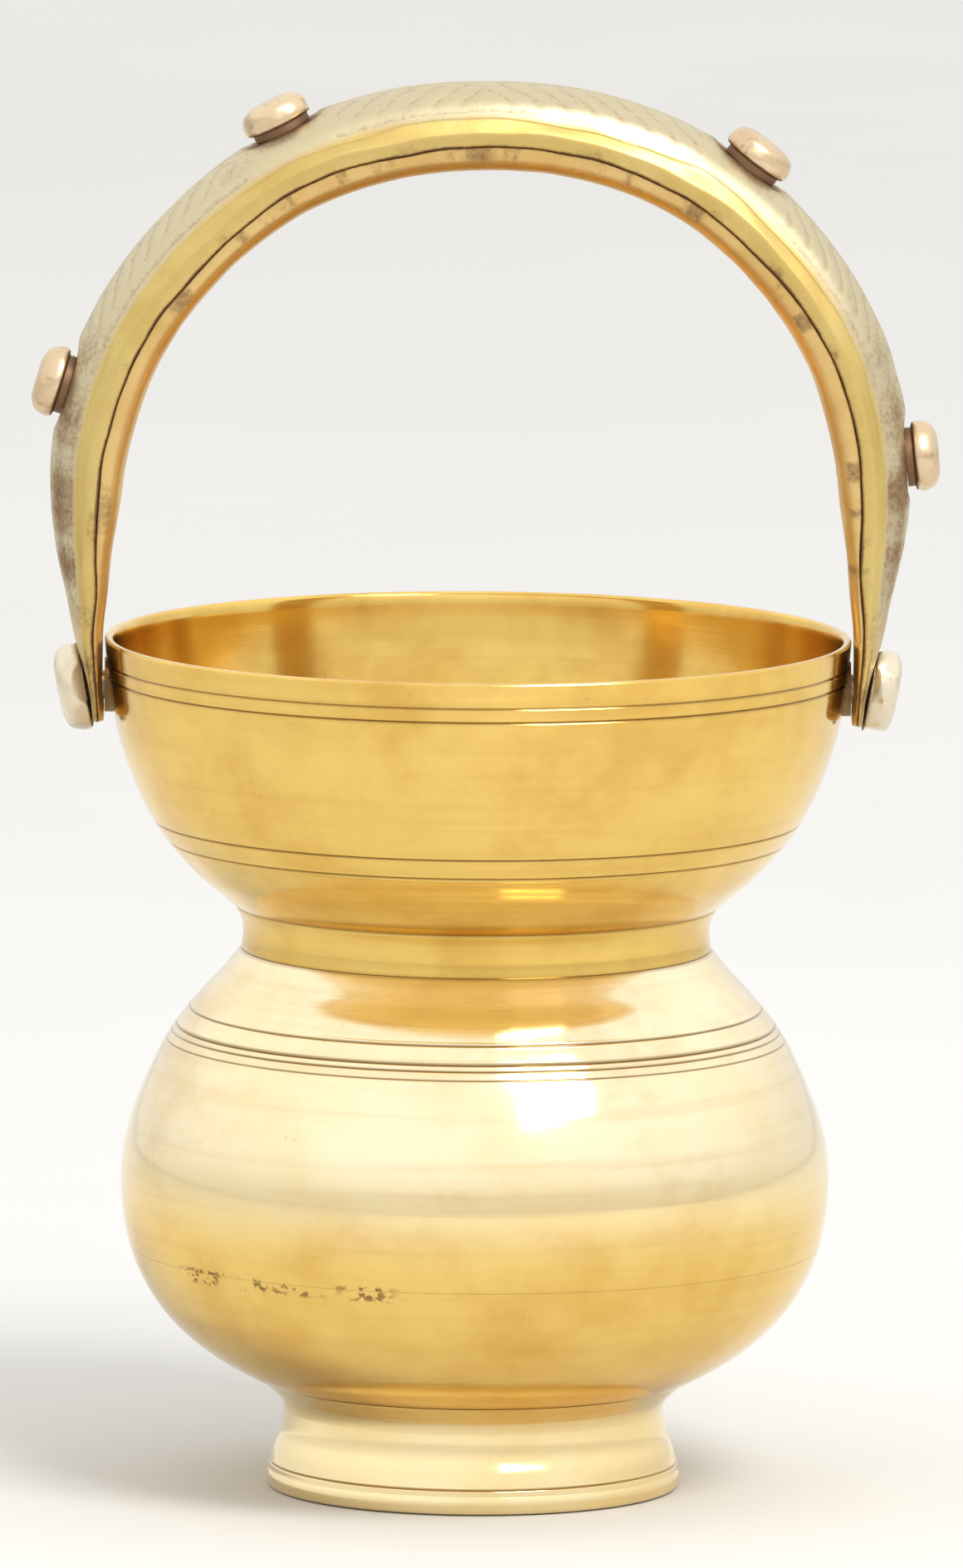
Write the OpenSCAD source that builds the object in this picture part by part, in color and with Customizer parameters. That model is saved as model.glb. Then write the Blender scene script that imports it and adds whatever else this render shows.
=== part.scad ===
// Footed brass vessel with an open upper bowl, a round pot below it and a riveted strap handle.
// Frame: millimetres, +Z up, origin at the centre of the ring that the foot stands on.
// +X runs along the handle's pivot axis, and -Y is the front.

/* [Vessel] */
// Outside radius of the bowl at its rim
rim_radius = 76.4; // [75:0.2:79]
// Height of the rim above the surface that the foot stands on
rim_height = 175; // [170:1:182]
// Outside radius of the neck collar at its waist
neck_radius = 47.8; // [46:0.2:50]
// Outside radius of the round pot at its belly
belly_radius = 72.6; // [70:0.2:75]
// Outside radius of the foot at its base band
foot_radius = 42.5; // [41:0.5:46]
// Wall thickness of the cast and turned shells
wall = 1.8; // [1.6:0.1:2.2]
// Radius of the turned decorative grooves
groove_radius = 0.4; // [0.3:0.05:0.5]

/* [Handle] */
// Height of the top of the handle above the foot
handle_height = 289.6; // [280:0.2:300]
// Width of the strap handle over its grip
grip_width = 30; // [26:1:31]
// Width of the two ears that the pivot rivets pass through
ear_width = 29; // [25:0.5:30]
// Wall thickness of the two cast straps
strap_wall = 2.2; // [1.9:0.1:2.6]
// How far the top of the arch leans to the right
arch_lean = 2; // [0:0.5:3]

/* [Pivots] */
// Distance of the pivot axis below the rim
pivot_drop = 10; // [9.5:0.5:12]
// Radius of the pivot rivets' shanks
pivot_radius = 3; // [2.5:0.1:3.5]
// Radial running clearance of the pivot rivets in the bowl's wall
pivot_clearance = 0.08; // [0.05:0.01:0.1]
// Radius of the pivot rivets' heads
pivot_head_radius = 9; // [8:0.1:9.4]
// Thickness of the pivot rivets' heads
pivot_head_thickness = 6.2; // [5:0.1:6.6]
// Angle that each pivot rivet's head leans down by, to sit square on its ear
pivot_head_lean = 10; // [6:1:12]

/* [Studs] */
// Radius of the heads of the four strap rivets
stud_head_radius = 7.3; // [6.5:0.1:7.8]
// Thickness of the heads of the four strap rivets
stud_head_thickness = 5.4; // [4.5:0.1:6.5]
// Height of the narrow shoulder under each head
stud_shoulder = 1.5; // [1:0.1:2]
// Radius of the strap rivets' shanks
stud_radius = 2.5; // [2:0.1:3]
// Angle that the row of four studs is turned to the right
stud_turn = 5; // [0:1:6]

/* [Hidden] */
$fn = 96;

kz = rim_height / 175;                 // height scale of the vessel
pivot_z = rim_height - pivot_drop;
pivot_seat = rim_radius + 3.1;         // where the pivot rivets' heads meet the ears, on the pivot axis
spigot_in = neck_radius - 2.3;         // clear radius through the neck
spigot_out = neck_radius - 1.15;       // radius where spigots and collar meet
neck_top = 120.3 * kz;
neck_mid = 115.6 * kz;
neck_bottom = 111.2 * kz;
belly_z = 62 * kz;
seam_z = 50 * kz;                      // brazed belly seam
seam_lap = 4;                          // height of the tongue inside that seam
foot_neck = foot_radius - 3.6;         // waist of the foot

// ---- curves ----

// Catmull-Rom curve through the points p, at t from 0 to len(p) - 1; the points may have any number of values.
function curve_at(p, t) =
    let (n = len(p) - 1, i = max(0, min(floor(t), n - 1)), f = t - i,
         b = p[i], c = p[i + 1],
         a = i > 0 ? p[i - 1] : 2 * b - c,
         d = i + 2 <= n ? p[i + 2] : 2 * c - b)
    0.5 * (2 * b + (c - a) * f + (2 * a - 5 * b + 4 * c - d) * f * f + (3 * b - a - 3 * c + d) * f * f * f);

// The same curve as a list, with m steps to each span.
function curve(p, m) = [for (i = [0 : (len(p) - 1) * m]) curve_at(p, i / m)];

function unit2(v) = v / norm(v);

// A profile of [radius, height] points moved towards the axis by w, square to its own line. It runs upwards.
function inset(p, w) = [for (i = [0 : len(p) - 1])
    let (a = p[max(0, i - 1)], b = p[min(len(p) - 1, i + 1)], t = unit2(b - a))
    p[i] + w * [-t[1], t[0]]];

function reverse(p) = [for (i = [len(p) - 1 : -1 : 0]) p[i]];
function between(x, a, b, c, d) = c + (x - a) * (d - c) / (b - a);

// ---- vessel profiles, [radius, height], bottom to top ----

bowl_stations = [[49.6, 120.3], [53.3, 123.4], [57.3, 126.8], [61.6, 131.4], [65.2, 136.0], [68.3, 141.3],
                 [71, 147.5], [73.3, 154.3], [75, 162.5], [75.9, 169], [76.4, 175]];
pot_stations = [[36, 19.2], [40.4, 20.6], [45.3, 22.8], [50.4, 25.5], [55.2, 28.6], [59.9, 32.4], [64.1, 36.9],
                [67.6, 42.2], [70.2, 48], [71.8, 54.4], [72.6, 62], [72.2, 69.5], [70.8, 75.6], [68.9, 81],
                [66.6, 86.3], [63.9, 91.7], [60.5, 96.8], [56.4, 101.7], [52.2, 106.2], [48.2, 111.2]];
pot_bottom = [[0, 16.8], [13, 17], [25, 17.6]];

function bowl_r(r) = between(r, 49.6, 76.4, neck_radius + 1.8, rim_radius);
function pot_r(r, z) = z > 62 ? between(r, 48.2, 72.6, neck_radius + 0.4, belly_radius)
                              : between(r, 38.9, 72.6, foot_neck, belly_radius);

bowl_out = curve([for (p = bowl_stations) [bowl_r(p[0]), p[1] * kz]], 3);
pot_out = curve([for (p = pot_stations) [pot_r(p[0], p[1]), p[1] * kz]], 2);
pot_floor = [for (p = pot_bottom) [p[0], p[1] * kz]];
bowl_in = inset(bowl_out, wall);
pot_in = inset(pot_out, wall);

lower_out = [for (p = pot_out) if (p[1] < seam_z) p];
lower_in = [for (p = pot_in) if (p[1] < seam_z - 0.4) p];
upper_out = [for (p = pot_out) if (p[1] > seam_z) p];
upper_in = [for (p = pot_in) if (p[1] > seam_z + seam_lap + 0.4 && p[1] < neck_bottom - 0.5 && p[0] > spigot_in + 0.2) p];
function radius_at(p, z) = lookup(z, [for (q = p) [q[1], q[0]]]);
seam_out = [radius_at(pot_out, seam_z), seam_z];
tongue_low = radius_at(pot_out, seam_z) - wall / 2;
tongue_high = radius_at(pot_out, seam_z + seam_lap) - wall / 2;

foot_top = [for (p = pot_out) if (p[0] < pot_r(46, 23) && p[1] < 24 * kz) p];   // shared with the pot's underside
foot_cove = curve([[foot_neck + 0.2, 12], [foot_neck, 15.2], [foot_neck + 0.5, 17.8], [foot_neck + 2.3, 19.9], foot_top[len(foot_top) - 1]], 3);
foot_flare = curve([[foot_radius - 0.5, 5.3], [foot_radius - 1.5, 8], [foot_radius - 2.9, 11.2], [foot_neck + 0.2, 14]], 2);

module ring_groove(p, z) {
    translate([radius_at(p, z) + groove_radius * 0.45, z]) circle(r = groove_radius, $fn = 24);
}

module bowl_solid() {
    // everything inside the bowl's outer surface
    rotate_extrude($fn = 360) polygon(concat([[0, neck_top]], bowl_out, [[0, rim_height]]));
}

module upper_bowl() {
    color([0.80, 0.60, 0.24])
    difference() {
        rotate_extrude()
        difference() {
            polygon(concat(
                [[spigot_in, neck_mid + 0.3], [spigot_out, neck_mid + 0.3], [spigot_out, neck_top]],
                bowl_out,
                [[rim_radius - wall * 0.5, rim_height + 0.25], [rim_radius - wall + 0.1, rim_height]],
                reverse([for (p = bowl_in) if (p[1] > neck_top + 0.6 && p[1] < rim_height - 0.5 && p[0] > spigot_in + 0.3) p]),
                [[spigot_in, neck_top + 0.2]]));
            for (z = [rim_height - 4.9, rim_height - 7.9, 137.8 * kz, 133.6 * kz]) ring_groove(bowl_out, z);
        }
        for (side = [-1, 1]) pivot_bar(side, pivot_radius + pivot_clearance, rim_radius - 20, rim_radius + 5);
    }
}

module neck_collar() {
    color([0.78, 0.58, 0.26])
    rotate_extrude()
    polygon(concat(
        [[spigot_out, neck_bottom]],
        curve([[neck_radius + 0.4, neck_bottom], [neck_radius, neck_bottom + 3 * kz], [neck_radius + 0.3, neck_bottom + 6 * kz], [neck_radius + 1.8, neck_top]], 3),
        [[spigot_out, neck_top]]));
}

module pot_upper_shell() {
    color([0.86, 0.72, 0.42])
    rotate_extrude()
    difference() {
        polygon(concat(
            [[tongue_low, seam_z], seam_out],
            upper_out,
            [[spigot_out, neck_bottom], [spigot_out, neck_mid - 0.3], [spigot_in, neck_mid - 0.3]],
            reverse(upper_in),
            [[radius_at(pot_in, seam_z + seam_lap), seam_z + seam_lap], [tongue_high, seam_z + seam_lap]]));
        for (z = [99, 95.3, 94.2, 92.6]) ring_groove(pot_out, z * kz);
    }
}

module pot_lower_shell() {
    color([0.80, 0.58, 0.22])
    rotate_extrude()
    polygon(concat(
        pot_floor,
        lower_out,
        [seam_out, [tongue_low, seam_z], [tongue_high, seam_z + seam_lap], [radius_at(pot_in, seam_z + seam_lap), seam_z + seam_lap]],
        [[radius_at(pot_in, seam_z), seam_z]],
        reverse(lower_in),
        [[25, pot_floor[2][1] + wall], [0, pot_floor[0][1] + wall]]));
}

module foot_ring() {
    color([0.84, 0.70, 0.42])
    rotate_extrude()
    difference() {
        polygon(concat(
            [[foot_radius - 3.4, 0], [foot_radius - 1.2, 0], [foot_radius - 0.5, 0.35], [foot_radius - 0.1, 1.2], [foot_radius, 2.2], [foot_radius - 0.2, 3.5], [foot_radius - 0.5, 3.8]],
            foot_flare,
            [for (p = foot_cove) if (p[1] > 14.6) p],
            reverse([for (p = foot_top) if (p[0] > foot_neck - 2.4 && p[0] < foot_cove[len(foot_cove) - 1][0] - 0.01) p]),
            [[foot_neck - 2.3, 15.5], [foot_neck - 1.6, 10]]));
        translate([foot_radius - 0.32, 5.2]) circle(r = 0.3, $fn = 24);
    }
}

// ---- handle ----

seam_x = rim_radius + 1.75;            // the line between the two straps, at the pivots
ear_outer = 1.4;
ear_inner = 1.2;
crown = 12.2;                          // outer strap's height over the grip
liner = 5.2;                           // inner strap's height over the grip
seam_top = handle_height - crown;

// Half of the arch, from an ear to the top: [share of seam_x, share of the height above the pivot,
// share of the crown, share of the liner, share of the grip width].
arch_half = [[0.993, -0.060, -0.02, -0.03, -12], [0.9935, -0.052, -0.01, -0.02, -4], [0.995, -0.036, 0, -0.01, -0.6], [0.999, 0, 0.03, 0, 0],
             [1.009, 0.098, 0.24, 0.22, 0.3], [1.005, 0.17, 0.43, 0.36, 0.5], [1.003, 0.25, 0.63, 0.52, 0.7], [0.998, 0.335, 0.78, 0.8, 0.9],
             [0.988, 0.425, 0.86, 0.93, 1], [0.961, 0.515, 0.9, 1, 1], [0.916, 0.604, 0.93, 1, 1], [0.85, 0.688, 0.95, 1, 1],
             [0.76, 0.77, 0.97, 1, 1], [0.65, 0.846, 0.98, 1, 1], [0.522, 0.91, 0.99, 1, 1], [0.375, 0.957, 1, 1, 1], [0.2, 0.989, 1, 1, 1]];
arch = concat([for (p = arch_half) [-p[0], p[1], p[2], p[3], p[4]]], [[0, 1, 1, 1, 1]], reverse(arch_half));

// [x, z, crown height, liner height, width] at each end of the arch's spans
stations = [for (p = arch) [p[0] * seam_x + arch_lean * pow(max(0, p[1]), 2), pivot_z + p[1] * (seam_top - pivot_z),
                            between(p[2], 0, 1, ear_outer, crown), between(p[3], 0, 1, ear_inner, liner), between(p[4], 0, 1, ear_width, grip_width)]];
spans = len(stations) - 1;
function handle_at(t) = curve_at(stations, t);
function outward(t) = let (a = handle_at(max(0, t - 0.05)), b = handle_at(min(spans, t + 0.05)), d = unit2([b[0] - a[0], b[1] - a[1]])) [-d[1], d[0]];

// Sections, [across, out of the seam]: the outer face from side to side, then the inner face back again
function outer_section(h, w) = let (s = w / 2, c = max(0.12, h - strap_wall), i = s - strap_wall, b = min(1, h / 8))
    [[-s, 0], [-s, 0.32 * h], [-s + 0.2 + 1.6 * b, 0.52 * h], [-0.7 * s, 0.75 * h], [-0.36 * s, 0.94 * h], [0, h],
     [0.36 * s, 0.94 * h], [0.7 * s, 0.75 * h], [s - 0.2 - 1.6 * b, 0.52 * h], [s, 0.32 * h], [s, 0],
     [i, 0], [0.97 * i, 0.18 * c], [0.88 * i, 0.4 * c], [0.66 * i, 0.68 * c], [0.34 * i, 0.91 * c], [0, 0.98 * c],
     [-0.34 * i, 0.91 * c], [-0.66 * i, 0.68 * c], [-0.88 * i, 0.4 * c], [-0.97 * i, 0.18 * c], [-i, 0]];
function inner_section(h, w) = let (s = w / 2 - 0.8, c = max(0.12, h - strap_wall + 0.2), i = s - strap_wall + 0.2)
    [[s, 0], [s, -0.35 * h], [0.94 * s, -0.68 * h], [0.8 * s, -0.9 * h], [0.6 * s, -h], [0, -1.01 * h],
     [-0.6 * s, -h], [-0.8 * s, -0.9 * h], [-0.94 * s, -0.68 * h], [-s, -0.35 * h], [-s, 0],
     [-i, 0], [-0.97 * i, -0.35 * c], [-0.9 * i, -0.7 * c], [-0.78 * i, -0.9 * c], [-0.6 * i, -0.98 * c], [0, -c],
     [0.6 * i, -0.98 * c], [0.78 * i, -0.9 * c], [0.9 * i, -0.7 * c], [0.97 * i, -0.35 * c], [i, 0]];

// A closed solid through one section at each value of ts
module swept(ts, sections) {
    m = len(sections[0]);
    n = len(ts);
    points = [for (i = [0 : n - 1]) let (c = handle_at(ts[i]), o = outward(ts[i])) for (q = sections[i]) [c[0] + o[0] * q[1], q[0], c[1] + o[1] * q[1]]];
    sides = [for (i = [0 : n - 2], j = [0 : m - 1]) let (a = i * m + j, b = i * m + (j + 1) % m) each [[a, b, b + m], [a, b + m, a + m]]];
    start = [for (j = [0 : m / 2 - 2]) each [[j + 1, j, m - 1 - j], [j + 1, m - 1 - j, m - 2 - j]]];
    end = [for (f = start) [f[2] + (n - 1) * m, f[1] + (n - 1) * m, f[0] + (n - 1) * m]];
    polyhedron(points, concat(start, sides, end), convexity = 8);
}

strap_ts = [for (i = [0 : spans * 2]) i / 2];

// Positions of the four studs round the arch, as angles about the arch's centre, from the left
stud_angles = [9, 56, 124.5, 170];
arch_centre = pivot_z + 40;
function bearing(t) = let (p = handle_at(t)) 180 - atan2(p[1] - arch_centre, p[0]);
bearings = [for (i = [20 : spans * 4 - 20]) [bearing(i / 4), i / 4]];
function stud_t(k) = lookup(stud_angles[k] + stud_turn, bearings);
function stud_seat(k) = handle_at(stud_t(k))[2] - 1.1;          // the flat under each shoulder, above the seam

module at_stud(k) {
    // local Z leaves the seam between the straps, square to the arch
    t = stud_t(k);
    p = handle_at(t);
    o = outward(t);
    translate([p[0], 0, p[1]]) rotate([0, atan2(o[0], o[1]), 0]) children();
}

// A bar along the pivot axis from x = a to x = b on one side
module pivot_bar(side, r, a, b) {
    translate([side * a, 0, pivot_z]) rotate([0, side * 90, 0]) cylinder(r = r, h = b - a);
}

// Local Z leaves a pivot rivet's head square to it, and z = 0 is the seat under the head
module at_pivot_seat(side) {
    translate([side * pivot_seat, 0, pivot_z]) rotate([0, side * (90 + pivot_head_lean), 0]) children();
}

module handle_outer_strap() {
    color([0.80, 0.69, 0.34])
    difference() {
        swept(strap_ts, [for (t = strap_ts) let (p = handle_at(t)) outer_section(p[2], p[4])]);
        for (side = [-1, 1]) {
            pivot_bar(side, pivot_radius + 0.03, seam_x - 6, seam_x + 12);
            at_pivot_seat(side) cylinder(r = pivot_head_radius + 0.4, h = 9);
        }
        for (k = [0 : 3]) at_stud(k) {
            translate([0, 0, -5]) cylinder(r = stud_radius + 0.03, h = 30);
            translate([0, 0, stud_seat(k)]) cylinder(r = stud_head_radius + 0.6, h = 6);
        }
    }
}

module handle_inner_strap() {
    color([0.80, 0.58, 0.26])
    difference() {
        swept(strap_ts, [for (t = strap_ts) let (p = handle_at(t)) inner_section(p[3], p[4])]);
        for (side = [-1, 1]) pivot_bar(side, pivot_radius + 0.03, seam_x - 6, seam_x + 12);
        for (k = [0 : 3]) at_stud(k) translate([0, 0, -20]) cylinder(r = stud_radius + 0.03, h = 30);
    }
}

// A drum head with rounded edges: base at z = 0, axis +Z
module drum_head(r, h) {
    rotate_extrude()
    polygon(concat([[0, 0], [r - 1.2, 0], [r - 0.35, 0.35]],
        curve([[r, 1.2], [r + 0.05, h * 0.45], [r - 0.5, h * 0.78], [r - 2.2, h * 0.95]], 2),
        [[r * 0.4, h], [0, h]]));
}

module stud_rivet(k) {
    color([0.78, 0.70, 0.55])
    at_stud(k) {
        seat = stud_seat(k);
        bed = handle_at(stud_t(k))[3];
        union() {
            translate([0, 0, seat + stud_shoulder]) drum_head(stud_head_radius, stud_head_thickness);
            translate([0, 0, seat]) cylinder(r = stud_head_radius - 2.2, h = stud_shoulder + 0.5);
            // the tail is filed flush with the inner strap
            translate([0, 0, -bed - 0.05]) cylinder(r = stud_radius, h = seat + bed + 0.4);
        }
    }
}

module pivot_rivet(side) {
    tail = rim_radius - 5.8;
    color([0.78, 0.72, 0.60])
    union() {
        at_pivot_seat(side) {
            translate([0, 0, 0.02]) cylinder(r = pivot_radius + 2.6, h = 0.8);
            translate([0, 0, 0.4]) drum_head(pivot_head_radius, pivot_head_thickness);
        }
        pivot_bar(side, pivot_radius, tail - 0.5, pivot_seat + 2);
        // peened tail inside the bowl
        translate([side * (tail - 1), 0, pivot_z]) rotate([0, side * 90, 0]) cylinder(r1 = pivot_radius + 0.3, r2 = pivot_radius + 1.4, h = 1);
    }
}

// Washer between the bowl's outside and the strap, cut to the bowl's curve
module saddle_washer(side) {
    color([0.55, 0.42, 0.22])
    difference() {
        pivot_bar(side, 5.6, rim_radius - 5, seam_x * 0.9965 - ear_inner - 0.35);
        bowl_solid();
        pivot_bar(side, pivot_radius + pivot_clearance, rim_radius - 20, rim_radius + 5);
    }
}

// Washer inside the bowl, under the peened tail, cut to the bowl's curve
module rove(side) {
    color([0.62, 0.48, 0.24])
    difference() {
        intersection() {
            pivot_bar(side, 6.2, rim_radius - 5.65, rim_radius);
            rotate_extrude($fn = 360) polygon(concat([[0, neck_top + 12]], [for (p = bowl_in) if (p[1] > neck_top + 12) p], [[0, rim_height]]));
        }
        pivot_bar(side, pivot_radius + pivot_clearance, rim_radius - 20, rim_radius + 5);
    }
}

upper_bowl();
neck_collar();
pot_upper_shell();
pot_lower_shell();
foot_ring();
handle_outer_strap();
handle_inner_strap();
stud_rivet(0);  // stud_rivet_left_low
stud_rivet(1);  // stud_rivet_left_high
stud_rivet(2);  // stud_rivet_right_high
stud_rivet(3);  // stud_rivet_right_low
pivot_rivet(-1);  // pivot_rivet_left
pivot_rivet(1);  // pivot_rivet_right
saddle_washer(-1);  // saddle_washer_left
saddle_washer(1);  // saddle_washer_right
rove(-1);  // rove_left
rove(1);  // rove_right
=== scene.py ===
import math

import bpy
import numpy as np
from mathutils import Matrix, Vector


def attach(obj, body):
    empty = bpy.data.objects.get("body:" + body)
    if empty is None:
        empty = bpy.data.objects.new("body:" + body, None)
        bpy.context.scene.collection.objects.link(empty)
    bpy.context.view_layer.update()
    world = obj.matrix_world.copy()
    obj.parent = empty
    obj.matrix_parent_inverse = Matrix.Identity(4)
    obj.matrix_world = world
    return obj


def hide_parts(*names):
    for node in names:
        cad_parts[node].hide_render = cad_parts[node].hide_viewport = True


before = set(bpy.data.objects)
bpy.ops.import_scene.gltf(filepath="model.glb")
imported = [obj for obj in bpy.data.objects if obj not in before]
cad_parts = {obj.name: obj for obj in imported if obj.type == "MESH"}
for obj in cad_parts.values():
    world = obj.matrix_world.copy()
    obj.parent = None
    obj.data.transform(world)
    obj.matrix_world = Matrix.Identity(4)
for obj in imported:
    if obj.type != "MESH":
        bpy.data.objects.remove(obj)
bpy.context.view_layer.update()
MM = 0.001

# ---------------------------------------------------------------- curves and noise

def curve_at(p, t):
    """Catmull-Rom curve through the rows of p at parameters t."""
    p = np.asarray(p, float)
    t = np.atleast_1d(np.asarray(t, float))
    n = len(p) - 1
    i = np.clip(np.floor(t).astype(int), 0, n - 1)
    f = (t - i)[:, None]
    b, c = p[i], p[i + 1]
    a = np.where((i > 0)[:, None], p[np.maximum(i - 1, 0)], 2 * b - c)
    d = np.where((i + 2 <= n)[:, None], p[np.minimum(i + 2, n)], 2 * c - b)
    return 0.5 * (2 * b + (c - a) * f + (2 * a - 5 * b + 4 * c - d) * f ** 2 + (3 * b - a - 3 * c + d) * f ** 3)


def wave(x, seed, rough=3):
    """Smooth one-dimensional noise, about -1 to 1."""
    rng = np.random.default_rng(seed)
    out = np.zeros_like(np.asarray(x, float))
    for k in range(rough):
        for _ in range(3):
            f = 2 ** k * rng.uniform(0.6, 1.4)
            out += np.sin(x * f + rng.uniform(0, 6.283)) / (1.6 * 2 ** k)
    return out / 2.0


def smooth(x, a, b):
    u = np.clip((np.asarray(x, float) - a) / (b - a), 0, 1)
    return u * u * (3 - 2 * u)


# ---------------------------------------------------------------- meshes

def grid_mesh(name, pts, close_u, close_v, attrs=None, sharp=38, flip=False):
    """A mesh from an (n, m, 3) grid in millimetres. close_u joins the last row to the first, close_v the last column."""
    n, m, _ = pts.shape
    idx = np.arange(n * m).reshape(n, m)
    a = idx if close_u else idx[:-1]
    nu = a.shape[0]
    r0 = idx[:nu]
    r1 = np.roll(idx, -1, axis=0)[:nu]
    if close_v:
        q = np.stack([r0, np.roll(r0, -1, 1), np.roll(r1, -1, 1), r1], -1)
    else:
        q = np.stack([r0[:, :-1], r0[:, 1:], r1[:, 1:], r1[:, :-1]], -1)
    q = q.reshape(-1, 4)
    if flip:
        q = q[:, ::-1]
    me = bpy.data.meshes.new(name)
    me.vertices.add(n * m)
    me.vertices.foreach_set("co", (pts.reshape(-1, 3) * MM).astype(np.float32).ravel())
    me.loops.add(q.size)
    me.loops.foreach_set("vertex_index", q.astype(np.int32).ravel())
    me.polygons.add(len(q))
    me.polygons.foreach_set("loop_start", np.arange(0, q.size, 4, dtype=np.int32))
    me.polygons.foreach_set("use_smooth", np.ones(len(q), bool))
    me.update(calc_edges=True)
    me.validate()
    for key, val in (attrs or {}).items():
        at = me.attributes.new(key, "FLOAT", "POINT")
        at.data.foreach_set("value", np.asarray(val, np.float32).ravel())
    me.set_sharp_from_angle(angle=math.radians(sharp))
    o = bpy.data.objects.new(name, me)
    bpy.context.scene.collection.objects.link(o)
    return o


def cap_ends(o, n, m):
    """Closes the first and last ring of an open tube."""
    import bmesh
    bm = bmesh.new()
    bm.from_mesh(o.data)
    bm.verts.ensure_lookup_table()
    for k, rev in ((0, True), (n - 1, False)):
        ring = [bm.verts[k * m + j] for j in range(m)]
        try:
            bm.faces.new(ring[::-1] if rev else ring)
        except ValueError:
            pass
    bmesh.ops.recalc_face_normals(bm, faces=bm.faces)
    bm.to_mesh(o.data)
    bm.free()


def lathe(name, loop, seg=320, attrs=None):
    """A ring turned from a closed loop of [radius, height] in millimetres."""
    loop = np.asarray(loop, float)
    a = np.linspace(0, 2 * np.pi, seg, endpoint=False)
    pts = np.empty((len(loop), seg, 3))
    pts[..., 0] = loop[:, 0:1] * np.cos(a)
    pts[..., 1] = loop[:, 0:1] * np.sin(a)
    pts[..., 2] = loop[:, 1:2]
    at = {k: np.repeat(np.asarray(v)[:, None], seg, 1) for k, v in (attrs or {}).items()}
    area = 0.5 * np.sum(loop[:, 0] * np.roll(loop[:, 1], -1) - np.roll(loop[:, 0], -1) * loop[:, 1])
    return grid_mesh(name, pts, True, True, at, flip=area < 0)


# ---------------------------------------------------------------- materials

class Nodes:
    """A short way to write a material's nodes."""

    def __init__(self, name):
        self.mat = bpy.data.materials.new(name)
        self.mat.use_nodes = True
        self.t = self.mat.node_tree
        self.t.nodes.clear()
        self.out = self.t.nodes.new("ShaderNodeOutputMaterial")

    def new(self, kind, _props=None, **inputs):
        n = self.t.nodes.new(kind)
        for k, v in (_props or {}).items():
            setattr(n, k, v)
        for k, v in inputs.items():
            s = n.inputs[int(k[1:])] if k[0] == "i" and k[1:].isdigit() else n.inputs[k.replace("_", " ")]
            self.put(s, v)
        return n

    def put(self, socket, v):
        if isinstance(v, bpy.types.NodeSocket):
            self.t.links.new(v, socket)
        elif isinstance(v, bpy.types.Node):
            self.t.links.new(v.outputs[0], socket)
        else:
            socket.default_value = v

    def math(self, op, a, b=0.0, c=0.0, clamp=False):
        return self.new("ShaderNodeMath", {"operation": op, "use_clamp": clamp}, i0=a, i1=b, i2=c).outputs[0]

    def ramp(self, fac, a, b):
        """0 below a, 1 above b."""
        return self.new("ShaderNodeMapRange", {"interpolation_type": "SMOOTHSTEP"}, Value=fac, From_Min=a, From_Max=b).outputs[0]

    def span(self, fac, a, b, c, d):
        return self.new("ShaderNodeMapRange", None, Value=fac, From_Min=a, From_Max=b, To_Min=c, To_Max=d).outputs[0]

    def mix(self, fac, a, b):
        n = self.new("ShaderNodeMix", {"data_type": "RGBA"})
        self.put(n.inputs[0], fac)
        self.put(n.inputs[6], a)
        self.put(n.inputs[7], b)
        return n.outputs[2]

    def noise(self, vec, scale, detail=3.0, rough=0.55):
        return self.new("ShaderNodeTexNoise", None, Vector=vec, Scale=scale, Detail=detail, Roughness=rough).outputs[0]

    def coords(self, scale=(1, 1, 1)):
        tc = self.new("ShaderNodeTexCoord").outputs["Object"]
        return self.new("ShaderNodeMapping", None, Vector=tc, Scale=scale).outputs[0]

    def attr(self, name):
        return self.new("ShaderNodeAttribute", {"attribute_name": name}).outputs["Fac"]

    def principled(self, **kw):
        p = self.new("ShaderNodeBsdfPrincipled", None, **kw)
        self.t.links.new(p.outputs[0], self.out.inputs["Surface"])
        return p


def rgb(r, g, b):
    return (r, g, b, 1.0)


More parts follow.
